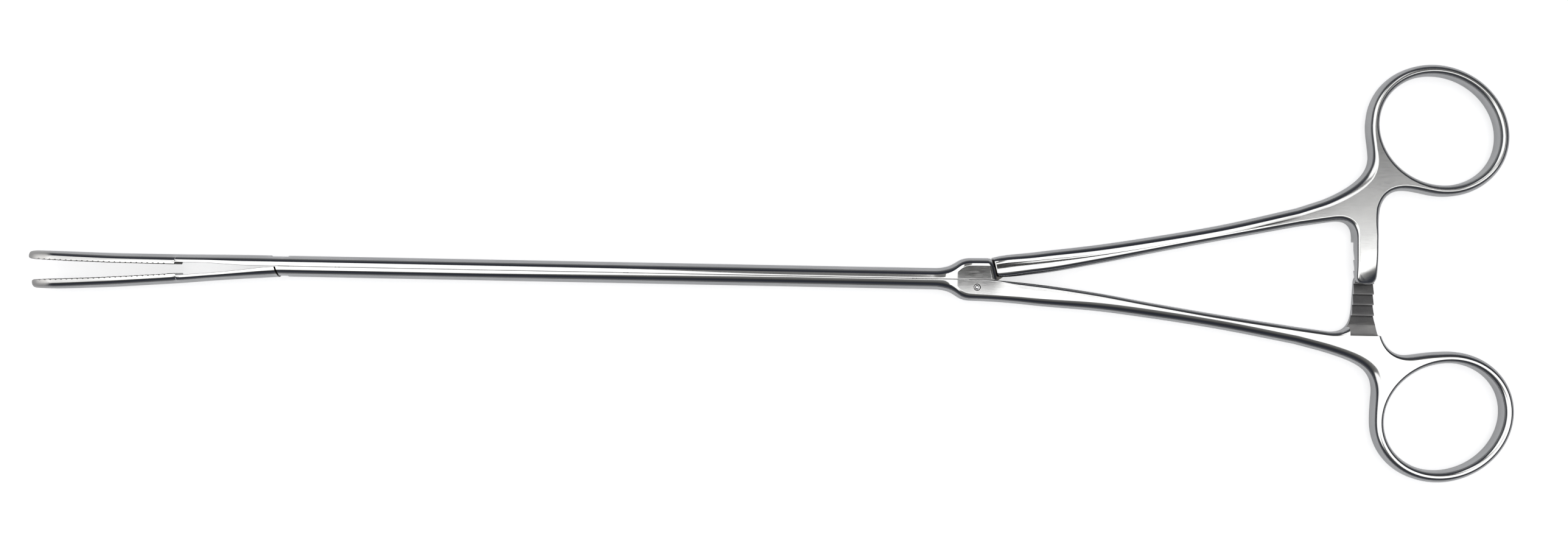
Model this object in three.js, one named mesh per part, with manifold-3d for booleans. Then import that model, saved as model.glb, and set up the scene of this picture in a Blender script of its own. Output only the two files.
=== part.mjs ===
// Double-shaft ring-handled ratchet forceps, 340 mm long, lying flat.
//
// Units are millimetres. +X runs from the jaw tips to the finger rings, +Y is the side of the
// moving handle, +Z is up. The parts are drawn about the middle of the tool: x = 0 at the handle
// pivot, y = 0 on the plane where the two half-round rods meet, z = 0 halfway through the
// thickness. At the end the whole group is shifted so that its origin is the middle of the
// footprint, on the surface that the tool lies on.

import * as THREE from 'three';
import * as BufferGeometryUtils from 'three/addons/utils/BufferGeometryUtils.js';
import Module from 'manifold-3d';

// ---------------------------------------------------------------- driving dimensions

const ROD_RADIUS = 2.4;
const SPLIT = 0.1;                       // each rod stops this far short of the parting plane
const RUN_CLEARANCE = 0.1;               // radial play of every pin in its hole
const MOVING_HOLE_EXTRA = 0.03;          // more play in the holes of the blade and the tongue
const CUT_REACH = 4;                     // cutting tools stick out at least this far in Z
const CRISP = [0.08, 0.08];              // corner radii of an edge that looks sharp

const TIP_X = -216.3;
const JAW_BREAK_X = -159.8;              // end face between the lower jaw and the lower rod
const JAW_BREAK_GAP = 0.2;               // gap between those two
const FORK_LEAN = -0.27;                 // the rod's end face leans like REAR_LEAN below
const JAW_PIN_X = -158.2;
const JAW_PIN_Y = 1.2;                   // jaw pivot above, link pin below the parting plane
const JAW_OPEN = THREE.MathUtils.degToRad(4.5);
const PAD_END_X = -182.4;                // rear end of the serrated pads
const PAD_PITCH = 1.25;
const PAD_DEPTH = 0.35;
const PAD_MEETING_GAP = 0.1;             // left between the two pads when the jaws are closed

const BOX_HALF_HEIGHT = 4.9;             // each half of the box, from the parting plane outwards
const BOX_HALF_THICKNESS = 2.7;
const BOX_REAR_X = 4.5;                  // rear face of the upper half, at the parting plane
const REAR_LEAN = -0.25;                 // that face leans forward by this much per millimetre of y
const HANDLE_GAP = 0.35;                 // gap between the box and the front of the moving handle

const HANDLE_HALF_THICKNESS = 2.2;
const HANDLE_BEVEL = 0.9;

const PIVOT_Y = -1.75;                   // handle pivot, in the lower half of the box
const PIVOT_PIN_RADIUS = 0.7;
const PIVOT_PIN_HALF_LENGTH = 2.68;      // just below flush with the box
const DRIVE_Y = 1.4;                     // drive pin, in the upper half of the box
const SMALL_PIN_RADIUS = 0.5;            // drive pin, jaw pivot pin and jaw link pin
const SMALL_PIN_END_PLAY = 0.1;          // their holes are blind: they are pressed in from below
const DRIVE_PIN_BOTTOM = -2.2;
const DRIVE_PIN_TOP = 1.8;
const JAW_PINS_BOTTOM = -1.9;
const JAW_PINS_TOP = 1.3;
const BLADE_HALF_THICKNESS = 0.95;       // nose of the moving handle
const BLADE_SLOT_HALF = 1.1;
const BLADE_DRIVE_RADIUS = 1.35;         // round end of the nose about the drive pin
const BLADE_PIVOT_RADIUS = 1.5;          // and about the handle pivot
const TONGUE_HALF_THICKNESS = 0.85;      // heel of the lower jaw
const TONGUE_SLOT_HALF = 1.0;
const TONGUE_LINK_RADIUS = 0.9;          // round end of the heel about the link pin
const TONGUE_PIVOT_RADIUS = 0.88;        // and about the jaw pivot

const STUD_XS = { front: -146, middle: -80, rear: -14 };
const STUD_NECK_RADIUS = 0.6;
const STUD_HEAD_RADIUS = 1.0;
const STUD_HEAD_BOTTOM = 0.85;
const STUD_HEAD_TOP = 1.45;
const STUD_TAIL = -1.7;
const STUD_SIDE_PLAY = 0.15;
const STUD_HEAD_PLAY = 0.12;
const SLOT_TRAVEL_BACK = 0.35;           // room for the slide behind and in front of each stud
const SLOT_TRAVEL_FRONT = 0.75;
const SLOT_KEY_OFFSET = 2.4;             // from the front end of that room to the key's centre

const ARM_SPLIT_Z = -0.3;                // the ratchet arms pass each other at this level
const ARM_GAP = 0.1;
const TOOTH_PITCH = 2.43;
const TOOTH_DEPTH = 0.65;
const FIRST_TOOTH_Y = 0.94;
const LOWER_TEETH = 4;
const UPPER_TEETH = 3;
const TEETH_SHIFT = 0.15;                // upper teeth against lower teeth, along the arm
const CREST_WIDTH = 0.2;
const TOOTH_RUN_OUT = 0.1;               // flat left between a gullet's shallow end and the next

const FILLET_STEPS = 6;                  // facets of each curve of an outline

const STEEL = { color: 0xb9bcc0, roughness: 0.28, metalness: 1.0 };
const PIN_STEEL = { color: 0xa9adb2, roughness: 0.32, metalness: 1.0 };

// ---------------------------------------------------------------- solids

const wasm = await Module();
wasm.setup();

function solidOf(geometry) {
  const bare = geometry.index ? geometry.toNonIndexed() : geometry.clone();
  bare.deleteAttribute('normal');
  bare.deleteAttribute('uv');
  const merged = BufferGeometryUtils.mergeVertices(bare, 1e-4);
  return new wasm.Manifold(new wasm.Mesh({
    numProp: 3,
    vertProperties: new Float32Array(merged.attributes.position.array),
    triVerts: new Uint32Array(merged.index.array),
  }));
}

function geometryOf(solid) {
  const mesh = solid.getMesh();
  const geometry = new THREE.BufferGeometry();
  const count = mesh.vertProperties.length / mesh.numProp;
  const positions = new Float32Array(count * 3);
  for (let i = 0; i < count; i += 1) {
    for (let k = 0; k < 3; k += 1) positions[3 * i + k] = mesh.vertProperties[i * mesh.numProp + k];
  }
  geometry.setAttribute('position', new THREE.BufferAttribute(positions, 3));
  geometry.setIndex(new THREE.BufferAttribute(new Uint32Array(mesh.triVerts), 1));
  return geometry;
}

// Flat outline in XY, extruded from z0 to z1, with an optional bevel on both edges.
function slab(shape, z0, z1, bevel = 0) {
  const geometry = new THREE.ExtrudeGeometry(shape, {
    depth: z1 - z0 - 2 * bevel,
    bevelEnabled: bevel > 0,
    bevelThickness: bevel,
    bevelSize: bevel,
    bevelOffset: -bevel,
    bevelSegments: 2,
    curveSegments: FILLET_STEPS,
  });
  geometry.translate(0, 0, z0 + bevel);
  return solidOf(geometry);
}

function polygon(points) {
  return new THREE.Shape(points.map(([x, y]) => new THREE.Vector2(x, y)));
}

// Upright cylinder along Z through (x, y).
function rodAlongZ(x, y, radius, z0, z1, sides = 16) {
  const geometry = new THREE.CylinderGeometry(radius, radius, z1 - z0, sides);
  geometry.rotateX(Math.PI / 2);
  geometry.translate(x, y, (z0 + z1) / 2);
  return solidOf(geometry);
}

// Cylinder along Y through (x, 0, 0).
function rodAlongY(x, radius, y0, y1, sides = 16) {
  const geometry = new THREE.CylinderGeometry(radius, radius, y1 - y0, sides);
  geometry.translate(x, (y0 + y1) / 2, 0);
  return solidOf(geometry);
}

function block(x0, x1, y0, y1, z0, z1) {
  const geometry = new THREE.BoxGeometry(x1 - x0, y1 - y0, z1 - z0);
  geometry.translate((x0 + x1) / 2, (y0 + y1) / 2, (z0 + z1) / 2);
  return solidOf(geometry);
}

function join(solids) {
  return solids.reduce((sum, next) => sum.add(next));
}

function cut(solid, tools) {
  return solid.subtract(join(tools));
}

// ---------------------------------------------------------------- lofted bars

// A bar is drawn through stations along X. Each station is a rounded section across the bar:
// inner is the edge that faces the parting plane, outer the far edge, half the half-thickness in
// Z, innerRound and outerRound the corner radii [in y, in z], lean the shift in x per mm of y.
const ARC_STEPS = 4;

function sectionPoints(station) {
  const { x, inner, outer, half, innerRound, outerRound, lean = 0 } = station;
  const side = Math.sign(outer - inner);
  const points = [];
  const corner = (y, z, round, from) => {
    for (let i = 0; i <= ARC_STEPS; i += 1) {
      const angle = (from + i / ARC_STEPS) * (Math.PI / 2);
      points.push([y + side * round[0] * Math.cos(angle), z + round[1] * Math.sin(angle)]);
    }
  };
  corner(outer - side * outerRound[0], half - outerRound[1], outerRound, 0);
  corner(inner + side * innerRound[0], half - innerRound[1], innerRound, 1);
  corner(inner + side * innerRound[0], -half + innerRound[1], innerRound, 2);
  corner(outer - side * outerRound[0], -half + outerRound[1], outerRound, 3);
  return points.map(([y, z]) => new THREE.Vector3(x + lean * y, y, z));
}

function loft(stations) {
  const loops = stations.map(sectionPoints);
  const ring = loops[0].length;
  const positions = loops.flat().flatMap((p) => [p.x, p.y, p.z]);
  const faces = [];
  for (let s = 0; s + 1 < loops.length; s += 1) {
    for (let i = 0; i < ring; i += 1) {
      const a = s * ring + i;
      const b = s * ring + ((i + 1) % ring);
      faces.push(a, b, b + ring, a, b + ring, a + ring);
    }
  }
  for (let i = 1; i + 1 < ring; i += 1) {
    const last = (loops.length - 1) * ring;
    faces.push(0, i + 1, i);
    faces.push(last, last + i, last + i + 1);
  }
  const mirrored = stations[0].outer < stations[0].inner;
  if (mirrored) {
    for (let i = 0; i < faces.length; i += 3) [faces[i], faces[i + 1]] = [faces[i + 1], faces[i]];
  }
  const geometry = new THREE.BufferGeometry();
  geometry.setAttribute('position', new THREE.Float32BufferAttribute(positions, 3));
  geometry.setIndex(faces);
  return solidOf(geometry);
}

// Half-round section: a flat towards the parting plane and an elliptical back.
function halfRound(x, inner, outer, half, lean = 0) {
  const least = 0.02;
  const height = Math.abs(outer - inner) - CRISP[0] - least;
  return { x, inner, outer, half, lean, innerRound: CRISP, outerRound: [height, half - least] };
}

// Box or shank section: flat faces with large rounded corners.
function barSection(x, inner, outer, half, innerRound, outerRound, lean = 0) {
  return { x, inner, outer, half, innerRound, outerRound, lean };
}

// The shoulder from the rod to the box, and the box itself, on one side of the parting plane.
function boxStations(side) {
  const y = (value) => side * value;
  return [
    barSection(-9.0, y(SPLIT), y(2.45), 2.4, CRISP, [2.2, 2.35]),
    barSection(-6.5, y(SPLIT), y(2.85), 2.5, CRISP, [2.5, 1.9]),
    barSection(-4.9, y(SPLIT), y(3.6), 2.62, CRISP, [2.3, 1.3]),
    barSection(-3.4, y(SPLIT), y(4.5), BOX_HALF_THICKNESS, CRISP, [1.9, 0.9]),
    barSection(-1.8, y(SPLIT), y(BOX_HALF_HEIGHT - 0.05), BOX_HALF_THICKNESS, CRISP, [1.7, 0.8]),
  ];
}

// ---------------------------------------------------------------- jaws

// Zigzag comb across the working face of a jaw pad. The face is a curve y(x).
function padComb(faceY, side) {
  const points = [];
  const start = TIP_X + 2.2;
  const count = Math.floor((PAD_END_X - 0.6 - start) / PAD_PITCH);
  const last = start + count * PAD_PITCH;
  points.push([last, faceY(last) - side * 1.5]);
  points.push([start, faceY(start) - side * 1.5]);
  for (let i = 0; i < count; i += 1) {
    const x = start + i * PAD_PITCH;
    points.push([x, faceY(x) - side * 0.02]);
    points.push([x + PAD_PITCH / 2, faceY(x + PAD_PITCH / 2) + side * PAD_DEPTH]);
  }
  points.push([last, faceY(last) - side * 0.02]);
  return slab(polygon(points), -CUT_REACH, CUT_REACH);
}

// Height of the working line where the closed jaws meet: it sweeps up towards the tip.
function workingLine(x) {
  const along = THREE.MathUtils.clamp((PAD_END_X - x) / (PAD_END_X - TIP_X), 0, 1);
  return -0.07 + 0.62 * Math.pow(along, 2.4);
}

const UPPER_JAW = [
  halfRound(TIP_X, 1.05, 1.95, 0.55),
  halfRound(TIP_X + 0.25, 0.8, 2.25, 0.9),
  halfRound(TIP_X + 0.8, 0.6, 2.42, 1.2),
  halfRound(TIP_X + 1.8, workingLine(TIP_X + 1.8), 2.5, 1.45),
  halfRound(-209, workingLine(-209), 2.43, 1.7),
  halfRound(-202, workingLine(-202), 2.3, 1.95),
  halfRound(-195, workingLine(-195), 2.21, 2.1),
  halfRound(-184, workingLine(-184), 2.22, 2.25),
  halfRound(PAD_END_X, workingLine(PAD_END_X), 2.22, 2.27),
  halfRound(PAD_END_X + 0.15, 0.45, 2.22, 2.27),
  halfRound(-176, 0.42, 2.28, 2.33),
  halfRound(-166, SPLIT, 2.36, 2.4),
];

// The lower jaw, drawn closed. Its heel leans like the front end of the lower rod.
function lowerJawStations() {
  const face = (x) => workingLine(x) - PAD_MEETING_GAP;
  return [
    halfRound(TIP_X + 0.5, -0.1, -1.1, 0.55),
    halfRound(TIP_X + 0.75, 0.15, -1.4, 0.9),
    halfRound(TIP_X + 1.3, 0.35, -1.62, 1.2),
    halfRound(TIP_X + 2.3, face(TIP_X + 2.3), -1.75, 1.45),
    halfRound(-209, face(-209), -2.13, 1.7),
    halfRound(-202, face(-202), -2.35, 1.95),
    halfRound(-195, face(-195), -2.48, 2.1),
    halfRound(-184, face(-184), -2.5, 2.25),
    halfRound(PAD_END_X, face(PAD_END_X), -2.5, 2.27),
    halfRound(PAD_END_X + 0.15, -0.62, -2.5, 2.27),
    halfRound(-174.5, -0.56, -2.38, 2.35),
    halfRound(-167.5, -0.32, -2.36, 2.4),
    halfRound(-161.5, -SPLIT, -2.4, 2.4),
    halfRound(JAW_BREAK_X - 0.1, -SPLIT, -2.4, 2.4, -0.2),
  ];
}

// Link hole of the jaw as drawn closed: it lies on the link pin once the jaw stands open.
const LINK_X = JAW_PIN_X - 2 * JAW_PIN_Y * Math.sin(JAW_OPEN);
const LINK_Y = JAW_PIN_Y - 2 * JAW_PIN_Y * Math.cos(JAW_OPEN);

// Tongue at the heel of the lower jaw: it carries the pivot hole and the link hole.
function heelTongue() {
  const shape = new THREE.Shape();
  shape.moveTo(-164.5, -1.9);
  shape.lineTo(-158.9, -2.05);
  shape.absarc(LINK_X, LINK_Y, TONGUE_LINK_RADIUS, -Math.PI / 2, 0, false);
  shape.lineTo(JAW_PIN_X + TONGUE_PIVOT_RADIUS, JAW_PIN_Y);
  shape.absarc(JAW_PIN_X, JAW_PIN_Y, TONGUE_PIVOT_RADIUS, 0, Math.PI, false);
  shape.lineTo(-159.6, -0.45);
  shape.lineTo(-164.5, -0.9);
  return slab(shape, -TONGUE_HALF_THICKNESS, TONGUE_HALF_THICKNESS);
}

function lowerJaw() {
  const hole = SMALL_PIN_RADIUS + RUN_CLEARANCE + MOVING_HOLE_EXTRA;
  const face = (x) => workingLine(x) - PAD_MEETING_GAP;
  const body = cut(join([loft(lowerJawStations()), heelTongue()]), [
    padComb(face, -1),
    rodAlongZ(JAW_PIN_X, JAW_PIN_Y, hole, -CUT_REACH, CUT_REACH),
    rodAlongZ(LINK_X, LINK_Y, hole, -CUT_REACH, CUT_REACH),
  ]);
  const geometry = geometryOf(body);
  geometry.translate(-JAW_PIN_X, -JAW_PIN_Y, 0);
  return geometry;
}

// ---------------------------------------------------------------- sliding upper shaft

// Keyhole T-slot in the flat of the upper rod. The stud head enters through the round end, and
// the slot is long enough for the whole slide.
function studSlot(x) {
  const neck = STUD_NECK_RADIUS + STUD_SIDE_PLAY;
  const head = STUD_HEAD_RADIUS + STUD_SIDE_PLAY;
  const keyX = x + SLOT_TRAVEL_FRONT + SLOT_KEY_OFFSET;
  const headBottom = STUD_HEAD_BOTTOM - STUD_HEAD_PLAY;
  const headTop = STUD_HEAD_TOP + STUD_HEAD_PLAY;
  return join([
    block(x - neck - SLOT_TRAVEL_BACK, keyX, 0, headTop, -neck, neck),
    block(x - head - SLOT_TRAVEL_BACK, keyX, headBottom, headTop, -head, head),
    rodAlongY(keyX, head, 0, headTop),
  ]);
}

function upperBladeSlot() {
  return slab(polygon([
    [-2.2, -1],
    [7, -1],
    [7, 3.9],
    [2.4, 3.9],
    [1.2, 3.1],
    [-2.2, 3.1],
  ]), -BLADE_SLOT_HALF, BLADE_SLOT_HALF);
}

function upperShaft() {
  const top = BOX_HALF_HEIGHT;
  const half = BOX_HALF_THICKNESS;
  const chamfer = 0.4;
  const body = loft([
    ...UPPER_JAW,
    ...boxStations(1),
    barSection(2.6, SPLIT, top, half, CRISP, [1.7, 0.8], REAR_LEAN / 2),
    barSection(BOX_REAR_X - chamfer, SPLIT, top, half, CRISP, [1.7, 0.8], REAR_LEAN),
    barSection(BOX_REAR_X, SPLIT + 0.25, top - chamfer, half - 0.3, CRISP, [1.5, 0.7], REAR_LEAN),
  ]);
  const pinHole = SMALL_PIN_RADIUS + RUN_CLEARANCE;
  return geometryOf(cut(body, [
    padComb(workingLine, 1),
    block(JAW_PIN_X - 2.9, JAW_PIN_X + 1.3, -1, 3, -TONGUE_SLOT_HALF, TONGUE_SLOT_HALF),
    rodAlongZ(JAW_PIN_X, JAW_PIN_Y, pinHole, -CUT_REACH, JAW_PINS_TOP + SMALL_PIN_END_PLAY),
    rodAlongZ(0, DRIVE_Y, pinHole, -CUT_REACH, DRIVE_PIN_TOP + SMALL_PIN_END_PLAY),
    upperBladeSlot(),
    ...Object.values(STUD_XS).map(studSlot),
  ]));
}

// ---------------------------------------------------------------- rings and arms

const UPPER_RING = { x: 104.8, y: 36.0, a: 13.9, b: 12.1, tilt: -26.5, wall: 2.55 };
const LOWER_RING = { x: 107.0, y: -29.3, a: 13.8, b: 12.0, tilt: 24, wall: 2.65 };

const RING_STEPS = 40;

// Both arms: outline, corner radius at the tips, and where the half-thickness cuts begin in x.
const ARM = { left: 86.4, right: 91.35, upperEnd: 0.6, lowerEnd: 2.9, corner: 1.5, cutLeft: 85.0 };
const TIP_SLOPE_LENGTH = 5.5;
const TIP_SLOPE_DROP = 1.0;

// Point on the tilted ellipse of a ring, grown outwards by grow, at a parameter angle in degrees.
function ringPoint(ring, grow, degrees) {
  const angle = THREE.MathUtils.degToRad(degrees);
  const point = new THREE.Vector2((ring.a + grow) * Math.cos(angle), (ring.b + grow) * Math.sin(angle));
  point.rotateAround(new THREE.Vector2(0, 0), THREE.MathUtils.degToRad(ring.tilt));
  return point.add(new THREE.Vector2(ring.x, ring.y));
}

function ringHole(ring) {
  const points = [];
  for (let i = 0; i < RING_STEPS; i += 1) points.push(ringPoint(ring, 0, (-360 * i) / RING_STEPS));
  return new THREE.Path(points);
}

// Outer edge of a ring between two parameter angles in degrees, counter-clockwise.
function ringArc(shape, ring, from, to) {
  const steps = Math.round((RING_STEPS * (to - from)) / 360);
  for (let i = 0; i <= steps; i += 1) {
    const point = ringPoint(ring, ring.wall, from + ((to - from) * i) / steps);
    shape.lineTo(point.x, point.y);
  }
}

// Ring, arm root and arm of the moving handle. The outline runs counter-clockwise from the shank.
function upperPlate() {
  const shape = new THREE.Shape();
  shape.moveTo(73, 13.45);
  shape.lineTo(81, 14.75);
  shape.bezierCurveTo(84.3, 15.2, ARM.left - 0.3, 14.3, ARM.left - 0.15, 11);
  const cornerY = ARM.upperEnd + ARM.corner;
  shape.absarc(ARM.left + ARM.corner, cornerY, ARM.corner, Math.PI, 1.5 * Math.PI, false);
  shape.absarc(ARM.right - ARM.corner, cornerY, ARM.corner, 1.5 * Math.PI, 2 * Math.PI, false);
  shape.lineTo(ARM.right - 0.1, 10);
  shape.bezierCurveTo(ARM.right - 0.1, 17, 91.2, 22.1, 97.2, 22.2);
  const bottom = ringPoint(UPPER_RING, UPPER_RING.wall, -65);
  shape.bezierCurveTo(99.6, 22.2, bottom.x - 2.6, bottom.y + 0.2, bottom.x, bottom.y);
  ringArc(shape, UPPER_RING, -65, 201);
  shape.bezierCurveTo(88.3, 35.2, 89.3, 32.5, 89.35, 29.6);
  shape.bezierCurveTo(89.4, 25.6, 85.2, 22.4, 79, 19.75);
  shape.lineTo(73, 17.7);
  return slabWithHole(shape, UPPER_RING);
}

// Ring, arm root and arm of the fixed handle.
function lowerPlate() {
  const shape = new THREE.Shape();
  shape.moveTo(73, -9.35);
  shape.lineTo(73, -13.1);
  shape.lineTo(79.5, -14.7);
  shape.bezierCurveTo(87.5, -17.2, 91.2, -18.6, 91.1, -24.3);
  shape.bezierCurveTo(91.0, -26.5, 90.8, -28.0, 90.85, -30.2);
  ringArc(shape, LOWER_RING, 160, 428);
  shape.bezierCurveTo(101.8, -14.7, 100.0, -15.4, 98.2, -15.4);
  shape.bezierCurveTo(93.4, -15.4, ARM.right - 0.1, -11.0, ARM.right - 0.1, -3.9);
  const cornerY = ARM.lowerEnd - ARM.corner;
  shape.absarc(ARM.right - 0.1 - ARM.corner, cornerY, ARM.corner, 0, Math.PI / 2, false);
  shape.absarc(ARM.left + 0.4 + ARM.corner, cornerY, ARM.corner, Math.PI / 2, Math.PI, false);
  shape.lineTo(ARM.left + 0.1, -5);
  shape.bezierCurveTo(ARM.left - 0.3, -9.2, 84.6, -10.45, 81, -10.35);
  return slabWithHole(shape, LOWER_RING);
}

function slabWithHole(shape, ring) {
  shape.holes.push(ringHole(ring));
  return slab(shape, -HANDLE_HALF_THICKNESS, HANDLE_HALF_THICKNESS, HANDLE_BEVEL);
}

// ---------------------------------------------------------------- handles

// Prism across an arm. Its outline is given as [y, z] points.
function acrossArm(outline) {
  const width = ARM.right + 1 - ARM.cutLeft;
  const geometry = new THREE.ExtrudeGeometry(polygon(outline), { depth: width, bevelEnabled: false });
  // The outline's x becomes world y, its y becomes world z and the extrusion runs along x.
  const turn = new THREE.Matrix4().makeBasis(
    new THREE.Vector3(0, 1, 0),
    new THREE.Vector3(0, 0, 1),
    new THREE.Vector3(1, 0, 0),
  );
  geometry.applyMatrix4(turn);
  geometry.translate(ARM.cutLeft, 0, 0);
  return orient(geometry);
}

// One ratchet gullet: a wedge across the arm, deepest at its steep end.
// deepY is where it is deepest, shallowY where it fades out, surface the level it is cut from.
function gullet(deepY, shallowY, surface, depth) {
  const clear = Math.sign(depth) * 2;
  return acrossArm([
    [deepY, surface + clear],
    [deepY, surface - depth],
    [shallowY, surface],
    [shallowY, surface + clear],
  ]);
}

// What is ground off the upper face of the upper arm, which slopes down towards its tip.
function tipSlope() {
  const top = HANDLE_HALF_THICKNESS;
  const start = ARM.upperEnd + TIP_SLOPE_LENGTH;
  return acrossArm([
    [start, top],
    [start - 0.6 * TIP_SLOPE_LENGTH, top - 0.35 * TIP_SLOPE_DROP],
    [ARM.upperEnd, top - TIP_SLOPE_DROP],
    [ARM.upperEnd - 1, top - TIP_SLOPE_DROP],
    [ARM.upperEnd - 1, top + 1],
    [start, top + 1],
  ]);
}

// Solid of a geometry without an index, turned inside out if its faces point inwards.
function orient(geometry) {
  const solid = solidOf(geometry);
  if (solid.volume() > 0) return solid;
  const position = geometry.attributes.position;
  const index = [];
  for (let i = 0; i < position.count; i += 3) index.push(i + 1, i, i + 2);
  geometry.setIndex(index);
  return solidOf(geometry);
}

// Nose blade of the moving handle, between the cheeks of the box.
function noseBlade() {
  const shape = new THREE.Shape();
  shape.moveTo(8, 4.0);
  shape.lineTo(5, 2.95);
  shape.lineTo(0, DRIVE_Y + BLADE_DRIVE_RADIUS);
  shape.absarc(0, DRIVE_Y, BLADE_DRIVE_RADIUS, Math.PI / 2, Math.PI, false);
  shape.lineTo(-BLADE_PIVOT_RADIUS, PIVOT_Y);
  shape.absarc(0, PIVOT_Y, BLADE_PIVOT_RADIUS, Math.PI, 1.75 * Math.PI, false);
  shape.lineTo(8, 2.0);
  return slab(shape, -BLADE_HALF_THICKNESS, BLADE_HALF_THICKNESS);
}

function upperHandle() {
  const t = HANDLE_HALF_THICKNESS;
  const front = BOX_REAR_X + HANDLE_GAP;
  const round = [1.2, 1.2];
  const shank = loft([
    barSection(front, 0.85, 4.75, 2.35, [0.9, 0.9], [1.2, 0.7], REAR_LEAN),
    barSection(front + 0.3, 0.65, 5.05, 2.6, [1.0, 0.9], [1.5, 0.8], REAR_LEAN),
    barSection(13.5, 1.5, 6.5, 2.5, round, [1.5, 1.0]),
    barSection(27.4, 4.05, 8.4, 2.35, round, [1.4, 1.1]),
    barSection(40, 6.75, 10.5, 2.25, round, round),
    barSection(55.3, 9.9, 13.4, t, round, round),
    barSection(69.2, 12.75, 16.5, t, round, round),
    barSection(80.3, 14.7, 19.9, t, [0.9, 0.9], [0.9, 0.9]),
  ]);
  const armBottom = ARM_SPLIT_Z + ARM_GAP / 2;
  const halfCut = block(ARM.cutLeft, ARM.right + 1, -2, 10.2, -CUT_REACH, armBottom);
  const teeth = [];
  for (let i = 0; i < UPPER_TEETH; i += 1) {
    const y = FIRST_TOOTH_Y + TEETH_SHIFT + i * TOOTH_PITCH;
    const shallow = y + TOOTH_PITCH - TOOTH_RUN_OUT;
    teeth.push(gullet(y + CREST_WIDTH, shallow, armBottom, -TOOTH_DEPTH));
  }
  const pivotHole = PIVOT_PIN_RADIUS + RUN_CLEARANCE + MOVING_HOLE_EXTRA;
  const driveHole = SMALL_PIN_RADIUS + RUN_CLEARANCE + MOVING_HOLE_EXTRA;
  return cut(join([shank, upperPlate(), noseBlade()]), [
    halfCut,
    tipSlope(),
    ...teeth,
    rodAlongZ(0, PIVOT_Y, pivotHole, -CUT_REACH, CUT_REACH),
    rodAlongZ(0, DRIVE_Y, driveHole, -CUT_REACH, CUT_REACH),
  ]);
}

function lowerBladeSlot() {
  return slab(polygon([
    [-2.1, 1],
    [-2.1, -3.55],
    [1.9, -3.55],
    [9.5, 1],
  ]), -BLADE_SLOT_HALF, BLADE_SLOT_HALF);
}

function lowerHandle() {
  const t = HANDLE_HALF_THICKNESS;
  const round = [1.2, 1.2];
  const fork = JAW_BREAK_X + JAW_BREAK_GAP;
  const bar = loft([
    halfRound(fork, -SPLIT - 0.1, -ROD_RADIUS + 0.2, ROD_RADIUS - 0.2, FORK_LEAN),
    halfRound(fork + 0.2, -SPLIT, -ROD_RADIUS, ROD_RADIUS, FORK_LEAN),
    ...boxStations(-1),
    barSection(1, -SPLIT, -BOX_HALF_HEIGHT, BOX_HALF_THICKNESS, CRISP, [1.6, 0.8]),
    barSection(5, -SPLIT - 0.1, -5.05, BOX_HALF_THICKNESS, [0.3, 0.3], [1.6, 0.8]),
    barSection(9.5, -0.45, -5.35, 2.6, [0.8, 0.6], [1.5, 0.9]),
    barSection(14.1, -0.85, -5.75, 2.5, [1.1, 0.9], [1.5, 1.0]),
    barSection(27.4, -2.5, -6.65, 2.35, round, [1.4, 1.1]),
    barSection(39, -4.4, -7.95, 2.25, round, round),
    barSection(55.3, -6.9, -10.2, t, round, round),
    barSection(69.2, -8.9, -12.5, t, round, round),
    barSection(80.3, -10.3, -14.9, t, [0.9, 0.9], [0.9, 0.9]),
  ]);
  const armTop = ARM_SPLIT_Z - ARM_GAP / 2;
  const halfCut = block(ARM.cutLeft, ARM.right + 1, -11.1, 5, armTop, CUT_REACH);
  const teeth = [];
  for (let i = 0; i < LOWER_TEETH; i += 1) {
    const y = FIRST_TOOTH_Y - i * TOOTH_PITCH;
    const shallow = y - TOOTH_PITCH + TOOTH_RUN_OUT;
    teeth.push(gullet(y - CREST_WIDTH, shallow, armTop, TOOTH_DEPTH));
  }
  const studHole = STUD_NECK_RADIUS + RUN_CLEARANCE;
  const linkHole = SMALL_PIN_RADIUS + RUN_CLEARANCE;
  const pivotHole = PIVOT_PIN_RADIUS + RUN_CLEARANCE;
  const linkTop = JAW_PINS_TOP + SMALL_PIN_END_PLAY;
  return cut(join([bar, lowerPlate()]), [
    halfCut,
    ...teeth,
    block(JAW_BREAK_X - 1, JAW_PIN_X + 1.3, -3, 1, -TONGUE_SLOT_HALF, TONGUE_SLOT_HALF),
    rodAlongZ(JAW_PIN_X, -JAW_PIN_Y, linkHole, -CUT_REACH, linkTop),
    rodAlongZ(0, PIVOT_Y, pivotHole, -CUT_REACH, CUT_REACH),
    lowerBladeSlot(),
    ...Object.values(STUD_XS).map((x) => rodAlongY(x, studHole, STUD_TAIL - 0.1, 1)),
  ]);
}

// ---------------------------------------------------------------- pins and studs

// Plain pin with a small staking dimple in its upper end.
function dimpledPin(radius, halfLength) {
  const profile = [
    [0, -halfLength],
    [radius - 0.12, -halfLength],
    [radius, -halfLength + 0.12],
    [radius, halfLength - 0.12],
    [radius - 0.12, halfLength],
    [radius * 0.6, halfLength],
    [0, halfLength - 0.3],
  ];
  const geometry = new THREE.LatheGeometry(profile.map(([r, h]) => new THREE.Vector2(r, h)), 16);
  geometry.rotateX(Math.PI / 2);
  return geometry;
}

function plainPin(radius, bottom, top) {
  const chamfer = 0.08;
  const profile = [
    [0, bottom],
    [radius - chamfer, bottom],
    [radius, bottom + chamfer],
    [radius, top - chamfer],
    [radius - chamfer, top],
    [0, top],
  ];
  const geometry = new THREE.LatheGeometry(profile.map(([r, h]) => new THREE.Vector2(r, h)), 12);
  geometry.rotateX(Math.PI / 2);
  return geometry;
}

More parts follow.
